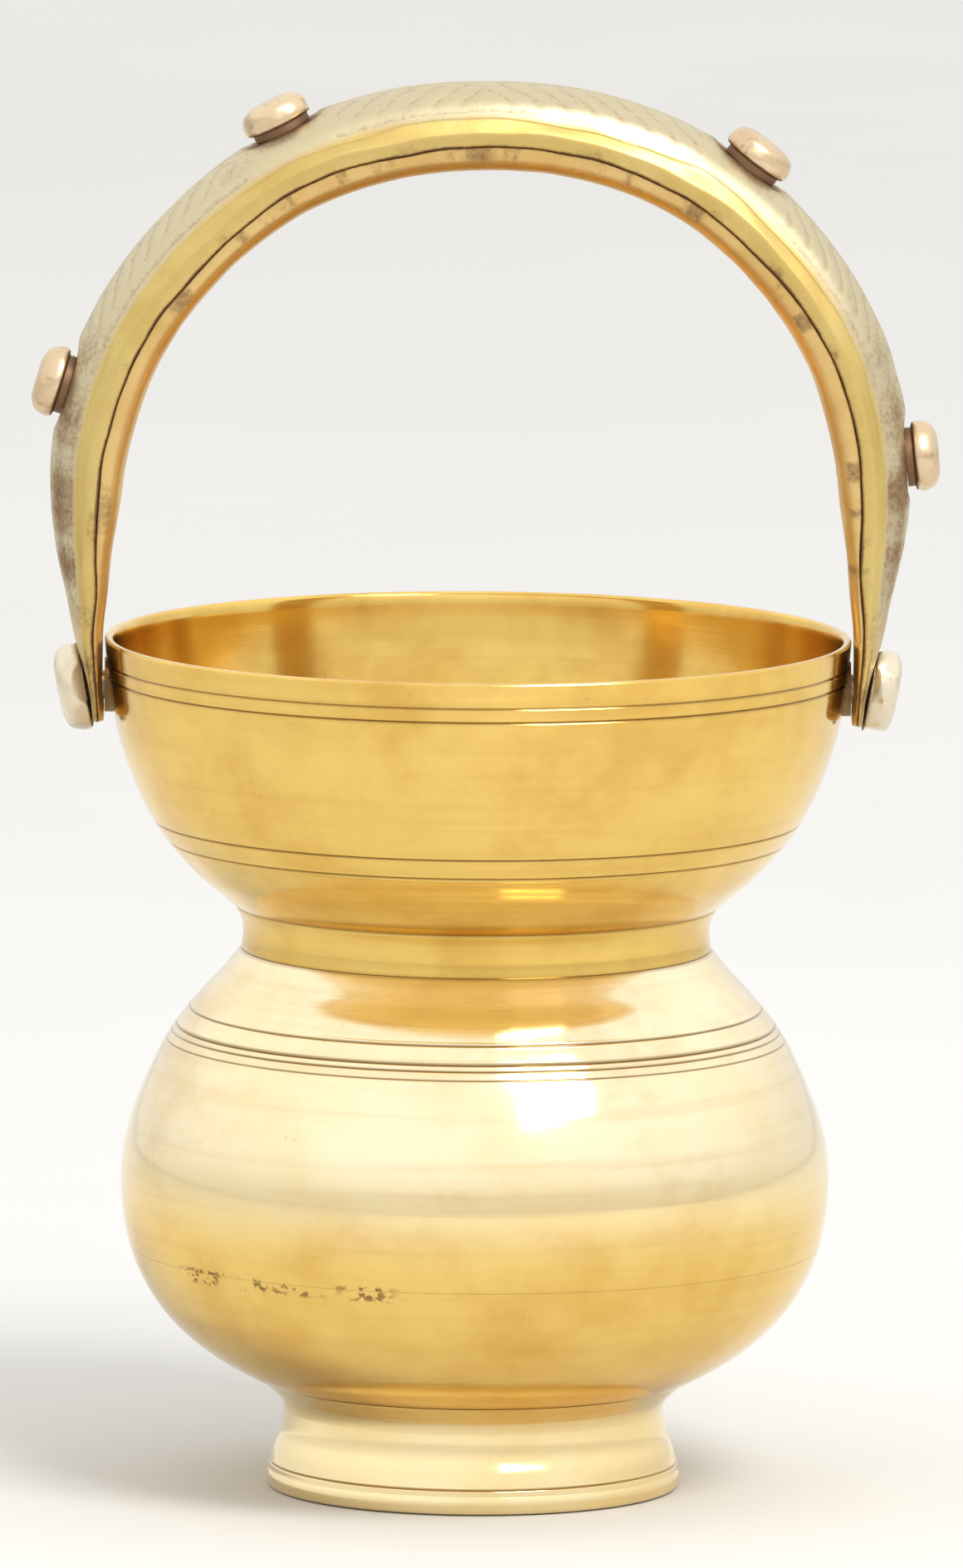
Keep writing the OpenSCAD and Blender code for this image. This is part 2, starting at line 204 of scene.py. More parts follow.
def turned_brass(name, base, deep, rough=0.15, lines=1.0, stain=0.5, pits=None, shade_attr=True, painted_highlight=None):
    """Polished brass off a lathe: fine circumferential lines, faint stains, darker tarnish in the grooves, painted
    shade from the per-vertex mask and, when asked for, a paler painted highlight higher up.
    """
    m = Nodes(name)
    co = m.coords()
    fine = m.noise(m.coords((6, 6, 2600)), 1.0, 2.0, 0.6)
    broad = m.noise(m.coords((10, 10, 420)), 1.0, 2.0, 0.5)
    cloud = m.noise(co, 38.0, 4.0, 0.6)
    spot = m.noise(co, 420.0, 3.0, 0.7)
    tint = m.mix(m.ramp(cloud, 0.38, 0.72), rgb(*base), rgb(*deep))
    if painted_highlight:
        # painted highlight: the upper part paler, standing in for the bright sky's reflection; start, end, colour,
        # second colour
        highlight_mask = m.ramp(m.new("ShaderNodeSeparateXYZ", None, Vector=co).outputs[2], painted_highlight[0], painted_highlight[1])
        tint = m.mix(highlight_mask, tint, m.mix(m.ramp(cloud, 0.38, 0.72), rgb(*painted_highlight[2]), rgb(*painted_highlight[3])))
    dull = m.math("MULTIPLY", m.ramp(spot, 0.60, 0.78), m.ramp(cloud, 0.5, 0.68))
    tint = m.mix(m.math("MULTIPLY", dull, 0.5 * stain), tint, rgb(0.42, 0.27, 0.10))
    haze = m.ramp(m.noise(m.coords((1, 1, 1.6)), 21.0, 5.0, 0.68), 0.50, 0.66)
    tint = m.mix(m.math("MULTIPLY", haze, 0.34 * stain), tint, rgb(deep[0] * 0.82, deep[1] * 0.74, deep[2] * 0.62))
    tint = m.mix(m.math("MULTIPLY", m.ramp(broad, 0.45, 0.75), 0.16), tint, rgb(deep[0] * 0.8, deep[1] * 0.72, deep[2] * 0.6))
    if shade_attr:
        tint = m.mix(m.math("MULTIPLY", m.attr("grime_and_shade"), 0.85), tint, rgb(0.20, 0.105, 0.03))
    r = m.span(cloud, 0.3, 0.75, rough * 0.8, rough * 1.45)
    r = m.math("ADD", r, m.math("MULTIPLY", dull, 0.10 * stain))
    height = m.math("ADD", m.math("MULTIPLY", fine, 0.55), m.math("MULTIPLY", broad, 0.8))
    if pits:
        # a short row of casting pits: centre angle, half width, height, half height, in radians and metres
        ang0, dang, z0, dz = pits
        sep = m.new("ShaderNodeSeparateXYZ", None, Vector=co)
        ang = m.math("ARCTAN2", sep.outputs[0], m.math("MULTIPLY", sep.outputs[1], -1.0))
        da = m.math("ABSOLUTE", m.math("SUBTRACT", ang, ang0))
        zz = m.math("ABSOLUTE", m.math("SUBTRACT", sep.outputs[2], z0))
        area = m.math("MULTIPLY", m.math("SUBTRACT", 1.0, m.ramp(da, dang * 0.8, dang)), m.math("SUBTRACT", 1.0, m.ramp(zz, dz * 0.3, dz)))
        cells = m.noise(m.coords((1, 1, 1.3)), 560.0, 2.0, 0.55)
        group = m.ramp(m.noise(co, 150.0, 2.0, 0.5), 0.44, 0.56)
        pit = m.math("MULTIPLY", m.math("MULTIPLY", area, group), m.ramp(cells, 0.50, 0.57))
        tint = m.mix(m.math("MULTIPLY", pit, 0.8), tint, rgb(0.19, 0.10, 0.035))
        r = m.math("ADD", r, m.math("MULTIPLY", pit, 0.3))
        height = m.math("SUBTRACT", height, m.math("MULTIPLY", pit, 9.0))
    bump = m.new("ShaderNodeBump", None, Strength=0.35 * lines, Distance=0.000016, Height=height)
    m.principled(Base_Color=tint, Metallic=1.0, Roughness=r, Normal=bump.outputs[0])
    return m.mat


def cast_brass(name, base, mottle, dark, rough=0.3, crown_sheen=None):
    """Satin cast brass: soft mottling, fine scratches, dark patina and painted shade from the per-vertex mask, and,
    when given, a paler painted sheen on the crown face.
    """
    m = Nodes(name)
    co = m.coords()
    cloud = m.noise(co, 55.0, 4.0, 0.6)
    grain = m.noise(co, 900.0, 3.0, 0.7)
    scratch = m.noise(m.coords((900, 120, 160)), 1.0, 2.0, 0.6)
    tint = m.mix(m.ramp(cloud, 0.35, 0.7), rgb(*base), rgb(*mottle))
    # painted sheen: the crown face tinted paler and greyer, standing in for its reflection of the bright sky
    if crown_sheen:
        tint = m.mix(m.attr("crown"), tint, rgb(*crown_sheen))
    tint = m.mix(m.math("MULTIPLY", m.ramp(grain, 0.5, 0.75), 0.22), tint, rgb(base[0] * 0.7, base[1] * 0.62, base[2] * 0.6))
    g = m.math("ADD", m.attr("grime_and_shade"), m.math("MULTIPLY", m.math("SUBTRACT", grain, 0.5), 0.7))
    g = m.ramp(g, 0.18, 0.85)
    tint = m.mix(g, tint, rgb(*dark))
    r = m.span(cloud, 0.3, 0.75, rough * 0.85, rough * 1.3)
    r = m.math("ADD", r, m.math("MULTIPLY", g, 0.25))
    h = m.math("ADD", m.math("MULTIPLY", grain, 0.5), m.math("MULTIPLY", scratch, 0.4))
    h = m.math("ADD", h, m.math("MULTIPLY", cloud, 4.0))
    bump = m.new("ShaderNodeBump", None, Strength=0.5, Distance=0.00005, Height=h)
    m.principled(Base_Color=tint, Metallic=1.0, Roughness=r, Normal=bump.outputs[0])
    return m.mat


M_BOWL = turned_brass("bowl_brass_turned", (0.84, 0.58, 0.165), (0.72, 0.45, 0.11), 0.13, 1.3, 1.0)
M_COLLAR = turned_brass("collar_brass_turned", (0.79, 0.54, 0.15), (0.68, 0.43, 0.10), 0.14, 1.4, 0.9)
POT_GOLD = ((0.85, 0.60, 0.19), (0.75, 0.48, 0.125))
# painted highlight for the upper pot: paler colours standing in for its reflection of the bright sky
SKY_HIGHLIGHT = (0.052, 0.078, (0.935, 0.815, 0.56), (0.90, 0.75, 0.46))
M_POT_TOP = turned_brass("pot_upper_brass_turned", POT_GOLD[0], POT_GOLD[1], 0.095, 1.3, 0.7, pits=(-0.62, 0.42, 0.0500, 0.0011), painted_highlight=SKY_HIGHLIGHT)
M_POT_LOW = turned_brass("pot_lower_brass_turned", POT_GOLD[0], POT_GOLD[1], 0.095, 1.3, 0.7, pits=(-0.62, 0.42, 0.0488, 0.0017))
M_FOOT = turned_brass("foot_brass_turned", (0.91, 0.75, 0.43), (0.88, 0.68, 0.34), 0.09, 1.0, 0.5)
# the last colour is a painted sheen for the crown face
M_STRAP = cast_brass("strap_outer_brass_cast", (0.66, 0.50, 0.185), (0.58, 0.415, 0.135), (0.25, 0.145, 0.07), 0.38, (0.60, 0.525, 0.345))
M_LINER = cast_brass("strap_inner_brass_cast", (0.72, 0.51, 0.21), (0.64, 0.42, 0.15), (0.28, 0.165, 0.08), 0.38)
M_STUD = cast_brass("stud_metal_hammered", (0.74, 0.59, 0.39), (0.64, 0.46, 0.28), (0.24, 0.14, 0.08), 0.28)
M_PIVOT = cast_brass("pivot_metal_hammered", (0.80, 0.72, 0.56), (0.66, 0.56, 0.40), (0.26, 0.18, 0.10), 0.30)
# the saddle washers are real parts, but this very dark brass is painted shade of the gap between ear and bowl
M_SADDLE_SHADE = turned_brass("saddle_brass_painted_shade", (0.36, 0.24, 0.11), (0.22, 0.14, 0.06), 0.42, 0.8, 1.0, shade_attr=False)
M_ROVE = turned_brass("rove_brass_dull", (0.62, 0.46, 0.22), (0.48, 0.33, 0.14), 0.34, 0.8, 1.0, shade_attr=False)

# ---------------------------------------------------------------- vessel

RIM_R, RIM_Z, NECK_R, FOOT_R, WALL = 76.4, 175.0, 47.8, 42.5, 1.8
SPIG_IN, SPIG_OUT = NECK_R - 2.3, NECK_R - 1.15
NECK_TOP, NECK_MID, NECK_LOW, SEAM, LAP = 120.3, 115.6, 111.2, 50.0, 4.0
FOOT_NECK = FOOT_R - 3.6

bowl_st = [[49.6, 120.3], [53.3, 123.4], [57.3, 126.8], [61.6, 131.4], [65.2, 136.0], [68.3, 141.3],
           [71, 147.5], [73.3, 154.3], [75, 162.5], [75.9, 169], [76.4, 175]]
pot_st = [[36, 19.2], [40.4, 20.6], [45.3, 22.8], [50.4, 25.5], [55.2, 28.6], [59.9, 32.4], [64.1, 36.9],
          [67.6, 42.2], [70.2, 48], [71.8, 54.4], [72.6, 62], [72.2, 69.5], [70.8, 75.6], [68.9, 81],
          [66.6, 86.3], [63.9, 91.7], [60.5, 96.8], [56.4, 101.7], [52.2, 106.2], [48.2, 111.2]]


def grooved(st, grooves, coarse=0.7, fine=0.09):
    """The curve through st, [r, z] upwards, with turned grooves. Each groove is [z, depth, half width]. Returns points and grime."""
    t = np.linspace(0, len(st) - 1, 6000)
    p = curve_at(st, t)
    s = np.concatenate([[0], np.cumsum(np.hypot(*np.diff(p, axis=0).T))])
    want = list(np.arange(0, s[-1], coarse)) + [s[-1]]
    spots = []
    for z, depth, half in grooves:
        s0 = np.interp(z, p[:, 1], s)
        spots.append((s0, depth, half))
        want += list(np.arange(s0 - 3 * half, s0 + 3 * half, fine))
    want = np.unique(np.clip(np.round(want, 4), 0, s[-1]))
    keep = np.concatenate([[True], np.diff(want) > 0.03])
    want = want[keep]
    q = np.stack([np.interp(want, s, p[:, 0]), np.interp(want, s, p[:, 1])], 1)
    d = np.gradient(q, axis=0)
    d /= np.linalg.norm(d, axis=1)[:, None]
    nrm = np.stack([-d[:, 1], d[:, 0]], 1)          # towards the axis
    cut = np.zeros(len(want))
    grime_and_shade = np.zeros(len(want))
    for s0, depth, half in spots:
        u = np.abs(want - s0) / half
        cut += depth * np.clip(1 - u, 0, 1) - 0.12 * depth * np.exp(-((u - 1.5) / 0.45) ** 2)
        grime_and_shade = np.maximum(grime_and_shade, np.clip(1.15 - u, 0, 1))
    return q + nrm * cut[:, None], grime_and_shade


def inner_wall(st, wall, n=70):
    p = curve_at(st, np.linspace(0, len(st) - 1, n))
    d = np.gradient(p, axis=0)
    d /= np.linalg.norm(d, axis=1)[:, None]
    return p + wall * np.stack([-d[:, 1], d[:, 0]], 1)


def shell(name, node, parts, mat):
    """Turns a closed loop made of (points, darkening) pieces; the darkening holds groove tarnish, dark joints and
    painted shade.
    """
    loop = np.concatenate([np.asarray(p, float) for p, _ in parts])
    gr = np.concatenate([np.full(len(p), g) if np.isscalar(g) else np.asarray(g) for p, g in parts])
    o = lathe(name, loop, 256, {"grime_and_shade": gr})
    o.data.materials.append(mat)
    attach(o, "vessel")
    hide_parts(node)
    return o


# upper bowl
out, gr = grooved(bowl_st, [(170.0, 0.22, 0.34), (167.1, 0.26, 0.38), (137.8, 0.24, 0.36), (133.6, 0.26, 0.40)])
gr = np.maximum(gr, 0.75 * (1 - smooth(out[:, 1], 120.3, 121.1)))
inn = inner_wall(bowl_st, WALL)
inn = inn[(inn[:, 1] > NECK_TOP + 0.6) & (inn[:, 1] < RIM_Z - 0.9) & (inn[:, 0] > SPIG_IN + 0.3)]
lip = [[RIM_R - 0.05, RIM_Z - 0.25], [RIM_R - 0.18, RIM_Z + 0.08], [RIM_R - 0.6, RIM_Z + 0.24], [RIM_R - 1.1, RIM_Z + 0.22],
       [RIM_R - 1.5, RIM_Z + 0.02], [RIM_R - 1.72, RIM_Z - 0.4]]
out = out[:-1]; gr = gr[:-1]
shell("bowl", "upper_bowl", [([[SPIG_IN, NECK_MID + 0.3], [SPIG_OUT, NECK_MID + 0.3], [SPIG_OUT, NECK_TOP]], 0.6), (out, gr), (lip, 0.0),
                             (inn[::-1], 0.0), ([[SPIG_IN, NECK_TOP + 0.2]], 0.4)], M_BOWL)

# collar
col, gr = grooved([[NECK_R + 0.4, NECK_LOW], [NECK_R, NECK_LOW + 3], [NECK_R + 0.3, NECK_LOW + 6], [NECK_R + 1.8, NECK_TOP]], [], 0.3)
edge = np.minimum(col[:, 1] - NECK_LOW, NECK_TOP - col[:, 1])
col[:, 0] -= 0.22 * np.clip(1 - edge / 0.35, 0, 1)
gr = np.clip(1 - edge / 0.55, 0, 1)
shell("collar", "neck_collar", [([[SPIG_OUT, NECK_LOW]], 1.0), (col, gr), ([[SPIG_OUT, NECK_TOP]], 1.0)], M_COLLAR)

# pot, upper shell
pot_out, pot_gr = grooved(pot_st, [(99.0, 0.20, 0.34), (95.5, 0.34, 0.45), (94.2, 0.18, 0.30), (92.5, 0.10, 0.25)])
pot_gr = np.maximum(pot_gr, 0.6 * smooth(pot_out[:, 1], NECK_LOW - 0.7, NECK_LOW))
pot_in = inner_wall(pot_st, WALL, 160)


def pot_r(z, p=None):
    p = pot_out if p is None else p
    return float(np.interp(z, p[:, 1], p[:, 0]))


t_lo, t_hi = pot_r(SEAM) - WALL / 2, pot_r(SEAM + LAP) - WALL / 2
up = pot_out[:, 1] > SEAM + 0.02
ui = (pot_in[:, 1] > SEAM + LAP + 0.4) & (pot_in[:, 1] < NECK_LOW - 0.5) & (pot_in[:, 0] > SPIG_IN + 0.2)
shell("pot_top", "pot_upper_shell", [([[t_lo, SEAM], [pot_r(SEAM) - 0.012, SEAM + 0.01]], 0.05), (pot_out[up], pot_gr[up]),
      ([[SPIG_OUT, NECK_LOW], [SPIG_OUT, NECK_MID - 0.3], [SPIG_IN, NECK_MID - 0.3]], 0.5), (pot_in[ui][::-1], 0.1),
      ([[pot_r(SEAM + LAP, pot_in), SEAM + LAP], [t_hi, SEAM + LAP]], 0.3)], M_POT_TOP)

# pot, lower shell
dn = pot_out[:, 1] < SEAM - 0.02
di = pot_in[:, 1] < SEAM - 0.4
# painted shade on the pot's underside: a band where the foot meets it, and the bottom inside the foot ring
foot_shade_band = np.clip(1 - np.abs(pot_out[dn][:, 0] - (FOOT_NECK + 1.6)) / 2.4, 0, 1) * 0.35
shell("pot_bottom", "pot_lower_shell", [([[0.5, 16.8], [13, 17], [25, 17.6]], 0.3), (pot_out[dn], foot_shade_band),
      ([[pot_r(SEAM) - 0.012, SEAM - 0.01], [t_lo, SEAM], [t_hi, SEAM + LAP], [pot_r(SEAM + LAP, pot_in), SEAM + LAP], [pot_r(SEAM, pot_in), SEAM]], 0.3),
      (pot_in[di][::-1], 0.15), ([[25, 17.6 + WALL], [0.5, 16.8 + WALL]], 0.15)], M_POT_LOW)

# foot
top = pot_out[(pot_out[:, 1] < 24) & (pot_out[:, 0] < 46)]
end = [float(x) for x in (np.interp(22.0, pot_out[:, 1], pot_out[:, 0]), 22.0)]
cove_st = [[FOOT_NECK + 0.2, 12], [FOOT_NECK, 15.2], [FOOT_NECK + 0.5, 17.8], [FOOT_NECK + 2.3, 19.9], end]
base = [[FOOT_R - 3.4, 0], [FOOT_R - 1.2, 0], [FOOT_R - 0.75, 0.12], [FOOT_R - 0.35, 0.5], [FOOT_R - 0.1, 1.2], [FOOT_R, 2.2], [FOOT_R - 0.12, 3.1], [FOOT_R - 0.45, 3.65]]
flare, fgr = grooved([[FOOT_R - 0.5, 3.8], [FOOT_R - 0.62, 4.9], [FOOT_R - 1.5, 8], [FOOT_R - 2.9, 11.2], [FOOT_NECK + 0.2, 14]], [(5.1, 0.15, 0.28)], 0.5)
cove = curve_at(cove_st, np.linspace(1, 4, 26))
under = top[(top[:, 0] > FOOT_NECK - 2.4) & (top[:, 0] < cove[-1, 0] - 0.05)]
# painted shade: darker into the crease where the foot meets the pot, on the faces against the pot and inside the ring
shell("foot", "foot_ring", [(base, 0.0), (flare[:-3], np.maximum(fgr, 0)[:-3]), (cove[2:], 0.15 * np.linspace(0, 1, 24)), (under[::-1], 0.6),
      ([[FOOT_NECK - 2.3, 15.5], [FOOT_NECK - 1.6, 10]], 0.4)], M_FOOT)

# ---------------------------------------------------------------- handle

PIVOT_Z = 165.0
SEAM_X, EAR_O, EAR_I, CROWN, LINER, LEAN = RIM_R + 1.75, 1.4, 1.2, 12.2, 5.2, 2.0
SEAM_TOP = 289.6 - CROWN
EAR_W, GRIP_W, STRAP_WALL = 29.0, 30.0, 2.2
half = [[0.993, -0.060, -0.02, -0.03, -12], [0.9935, -0.052, -0.01, -0.02, -4], [0.995, -0.036, 0, -0.01, -0.6], [0.999, 0, 0.03, 0, 0],
        [1.009, 0.098, 0.24, 0.22, 0.3], [1.005, 0.17, 0.43, 0.36, 0.5], [1.003, 0.25, 0.63, 0.52, 0.7], [0.998, 0.335, 0.78, 0.8, 0.9],
        [0.988, 0.425, 0.86, 0.93, 1], [0.961, 0.515, 0.9, 1, 1], [0.916, 0.604, 0.93, 1, 1], [0.85, 0.688, 0.95, 1, 1],
        [0.76, 0.77, 0.97, 1, 1], [0.65, 0.846, 0.98, 1, 1], [0.522, 0.91, 0.99, 1, 1], [0.375, 0.957, 1, 1, 1], [0.2, 0.989, 1, 1, 1]]
arch = [[-p[0]] + p[1:] for p in half] + [[0, 1, 1, 1, 1]] + half[::-1]
stations = np.array([[p[0] * SEAM_X + LEAN * max(0, p[1]) ** 2, PIVOT_Z + p[1] * (SEAM_TOP - PIVOT_Z), EAR_O + p[2] * (CROWN - EAR_O),
                      EAR_I + p[3] * (LINER - EAR_I), EAR_W + p[4] * (GRIP_W - EAR_W)] for p in arch])
SPANS = len(stations) - 1


def outward(t):
    a, b = curve_at(stations, np.maximum(0, t - 0.05)), curve_at(stations, np.minimum(SPANS, t + 0.05))
    d = b[:, :2] - a[:, :2]
    d /= np.linalg.norm(d, axis=1)[:, None]
    return np.stack([-d[:, 1], d[:, 0]], 1)


stud_angles = [9, 56, 124.5, 170]
ARCH_C = PIVOT_Z + 40
tt = np.arange(20, SPANS * 4 - 19) / 4
pp = curve_at(stations, tt)
bear = (270 - np.degrees(np.arctan2(pp[:, 1] - ARCH_C, pp[:, 0]))) % 360 - 90
STUD_T = [float(np.interp(a + 5, bear, tt)) for a in stud_angles]

T = np.concatenate([np.linspace(0, 4, 60, endpoint=False), np.linspace(4, SPANS - 4, 760, endpoint=False), np.linspace(SPANS - 4, SPANS, 61)])
C = curve_at(stations, T)
O = outward(T)
ARC = np.concatenate([[0], np.cumsum(np.hypot(*np.diff(C[:, :2], axis=0).T))])
ARC -= ARC[-1] / 2


def sweep(name, sec, attrs):
    """sec is (n, m, 2): across and outward, for each ring."""
    pts = np.empty(sec.shape[:2] + (3,))
    pts[..., 0] = C[:, 0:1] + O[:, 0:1] * sec[..., 1]
    pts[..., 1] = sec[..., 0]
    pts[..., 2] = C[:, 1:2] + O[:, 1:2] * sec[..., 1]
    n, m = pts.shape[:2]
    o = grid_mesh(name, pts, False, True, attrs, sharp=50)
    cap_ends(o, n, m)
    return o


seam_wave = (0.60 * wave(ARC / 14, 5) + 0.12 * wave(ARC / 4, 6)) * smooth(C[:, 2], 2.5, 7)


def stud_gap():
    """Distance of each ring from the nearest stud, along the arch."""
    d = np.full(len(T), 1e3)
    for t in STUD_T:
        a0 = np.interp(t, T, ARC)
        d = np.minimum(d, np.abs(ARC - a0))
    return d


STUD_D = stud_gap()


def outer_sections():
    h, w = C[:, 2], C[:, 4]
    s = w / 2
    b = np.minimum(1, h / 8)
    big = smooth(h, 2.0, 7.0)
    wob1 = 0.50 * wave(ARC / 9, 11) * big
    wob2 = 0.55 * wave(ARC / 8, 17) * big
    half_pts = []      # from the seam edge to the middle of the crown, as (share across, height)
    side = 0.27 * h + wob1
    bev = 0.46 * h + wob2
    rows = [(s - 0.27 * b, seam_wave + 0.0), (s - 0.05, seam_wave + 0.30 * b + 0.02), (s + 0.12 * b, side * 0.5), (s + 0.02, side * 0.92), (s - 0.28 * b - 0.05, side + 0.35 * b),
            (s - (1.35 * b + 0.2), bev - 0.25 * b), (s - (1.75 * b + 0.3), bev + 0.18 * b), (0.72 * s, np.maximum(bev + 0.3 * b, 0.72 * h)), (0.5 * s, 0.87 * h), (0.25 * s, 0.965 * h), (0 * s, 1.0 * h)]
    ctrl = np.stack([np.stack([np.broadcast_to(a, h.shape), np.broadcast_to(c, h.shape)], -1) for a, c in rows], 1)   # n, k, 2
    k = ctrl.shape[1]
    m = 44
    u = np.concatenate([np.linspace(0, 7, 26, endpoint=False), np.linspace(7, k - 1, m - 26)])
    i = np.clip(np.floor(u).astype(int), 0, k - 2)
    f = (u - i)[None, :, None]
    P1, P2 = ctrl[:, i], ctrl[:, i + 1]
    P0 = np.where((i > 0)[None, :, None], ctrl[:, np.maximum(i - 1, 0)], 2 * P1 - P2)
    mirror = ctrl[:, k - 2] * [-1, 1]
    P3 = np.where((i + 2 <= k - 1)[None, :, None], ctrl[:, np.minimum(i + 2, k - 1)], mirror[:, None, :])
    lim = 0.5 * (2 * P1 + (P2 - P0) * f + (2 * P0 - 5 * P1 + 4 * P2 - P3) * f ** 2 + (3 * P1 - P0 - 3 * P2 + P3) * f ** 3)
    right = lim                                                       # seam edge (+s) to crown
    left = lim[:, ::-1][:, 1:] * [-1, 1]
    outer = np.concatenate([right, left], 1)                          # +s ... crown ... -s
    a, z = outer[..., 0], outer[..., 1].copy()
    rel = np.abs(a) / s[:, None]
    crown = smooth(z / np.maximum(h[:, None], 1), 0.44, 0.56) * big[:, None]
    # chased strokes, slanting away from the middle of the crown
    pitch = 5.2
    ph = (ARC[:, None] - np.abs(a) * 0.95 * np.sign(ARC[:, None] + 1e-6) + 0.35 * np.sin(a * 0.9)) / pitch
    fr = np.abs(ph - np.round(ph)) * 2                                # 0 in the middle of a stroke
    band = smooth(rel, 0.16, 0.24) * (1 - smooth(rel, 0.66, 0.76))
    stroke = np.clip(1 - fr / 0.42, 0, 1) ** 0.8 * band * crown * smooth(STUD_D, 8.5, 10.5)[:, None]
    spine = np.exp(-((rel - 0.10) / 0.035) ** 2) * crown * smooth(STUD_D, 8, 9.5)[:, None]
    border = np.exp(-((rel - 0.80) / 0.03) ** 2) * crown * smooth(STUD_D, 8, 9.5)[:, None]
    rng = np.random.default_rng(4)
    dent = np.zeros_like(a)
    for _ in range(150):
        c0 = rng.uniform(ARC[0], ARC[-1])
        y0 = rng.uniform(-13, 13)
        rr = rng.uniform(2.0, 5.0)
        row = np.exp(-((ARC - c0) / rr) ** 2)
        dent += rng.uniform(-0.11, 0.16) * row[:, None] * np.exp(-((a - y0) / rr) ** 2)
    z -= (0.34 * stroke + 0.16 * spine + 0.14 * border) + dent * big[:, None]
    z = np.minimum(z, h[:, None] + 0.0)
    # flats under the studs
    for t in STUD_T:
        a0 = np.interp(t, T, ARC)
        seat = float(np.interp(t, T, h)) - 1.1
        d = np.hypot(ARC[:, None] - a0, a)
        fade = smooth(d, 7.6, 9.4)
        z = np.where(d < 9.4, np.minimum(z, seat + fade * 3.0), z)
    # spot faces under the pivot rivets' heads
    ca, sa = math.cos(math.radians(10)), math.sin(math.radians(10))
    for sd in (-1, 1):
        px = C[:, 0:1] + O[:, 0:1] * z
        pz = C[:, 1:2] + O[:, 1:2] * z
        dx, dz = sd * px - (RIM_R + 3.1), pz - PIVOT_Z
        over = dx * ca - dz * sa                       # height above the seat
        along = dx * sa + dz * ca
        rad = np.hypot(along, a)
        z = np.where((rad < 9.5) & (over > 0) & (over < 9) & (z > 0.3), z - over * (1 - smooth(rad, 9.2, 9.5)), z)
    pv = np.hypot(C[:, 1:2] - PIVOT_Z, a)
    grime_and_shade = 0.42 * stroke + 0.40 * spine + 0.45 * border
    # painted shade under and around each pivot rivet head, with a softer halo
    grime_and_shade = np.maximum(grime_and_shade, 0.9 * (1 - smooth(pv, 9.0, 10.6)))
    grime_and_shade = np.maximum(grime_and_shade, 0.4 * (1 - smooth(pv, 10, 14.0)))
    near = np.full(a.shape, 1e3)
    for t in STUD_T:
        a0 = np.interp(t, T, ARC)
        near = np.minimum(near, np.hypot(ARC[:, None] - a0, a))
    # painted shade under and around each stud head, with a softer halo
    grime_and_shade = np.maximum(grime_and_shade, 0.95 * (1 - smooth(near, 6.5, 9.0)))
    grime_and_shade = np.maximum(grime_and_shade, 0.40 * (1 - smooth(near, 8.0, 13.0)))
    # painted shade along the seam with the liner, its strength varied along the arch
    seam_shade = 1 - smooth(z - seam_wave[:, None], 0.12, 0.80)
    mottle = 0.62 + 0.38 * wave(ARC / 5, 37)[:, None]
    grime_and_shade = np.maximum(grime_and_shade, np.clip(mottle, 0.5, 1) * seam_shade)
    smear = smooth(wave(ARC / 7, 71)[:, None] + 0.5 * wave(ARC / 2, 73)[:, None], 0.0, 1.0) * (1 - smooth(z - seam_wave[:, None], 0.8, 3.6))
    grime_and_shade = np.maximum(grime_and_shade, 0.52 * smear)
    blot = smooth(wave(ARC / 6, 23)[:, None] + 0.6 * wave(a / 2.0, 31), 0.35, 1.1)
    grime_and_shade = np.maximum(grime_and_shade, 0.30 * blot * crown)
    leg = 1 - smooth(C[:, 1], 208, 258)
    patina = 0.52 + 0.20 * wave(ARC / 3, 41)[:, None] + 0.16 * wave(a / 1.6, 43)
    grime_and_shade = np.maximum(grime_and_shade, np.clip(leg[:, None] * crown * patina, 0, 0.7))
    foot_of_leg = 1 - smooth(C[:, 1], 168, 200)
    grime_and_shade = np.maximum(grime_and_shade, np.clip(foot_of_leg[:, None] * (0.40 + 0.3 * wave(ARC / 2.2, 47)[:, None]), 0, 0.6))
    sec_o = np.stack([a, z], -1)
    # inside of the channel, from -s back to +s
    c = np.maximum(0.12, h - STRAP_WALL)
    iw = s - STRAP_WALL
    ins = [(-iw, 0 * c), (-0.96 * iw, 0.22 * c), (-0.86 * iw, 0.42 * c), (-0.6 * iw, 0.72 * c), (-0.3 * iw, 0.92 * c), (0 * iw, 0.97 * c),
           (0.3 * iw, 0.92 * c), (0.6 * iw, 0.72 * c), (0.86 * iw, 0.42 * c), (0.96 * iw, 0.22 * c), (iw, 0 * c)]
    sec_i = np.stack([np.stack([x, y + (seam_wave if k in (0, 10) else 0)], -1) for k, (x, y) in enumerate(ins)], 1)
    sec = np.concatenate([sec_o, sec_i], 1)
    z0 = np.zeros(sec_i.shape[:2])
    return sec, {"grime_and_shade": np.concatenate([grime_and_shade, z0 + 0.9], 1), "crown": np.concatenate([crown, z0], 1)}


sec, at = outer_sections()
strap = sweep("strap_outer", sec, at)
strap.data.materials.append(M_STRAP)
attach(strap, "handle"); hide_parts("handle_outer_strap")


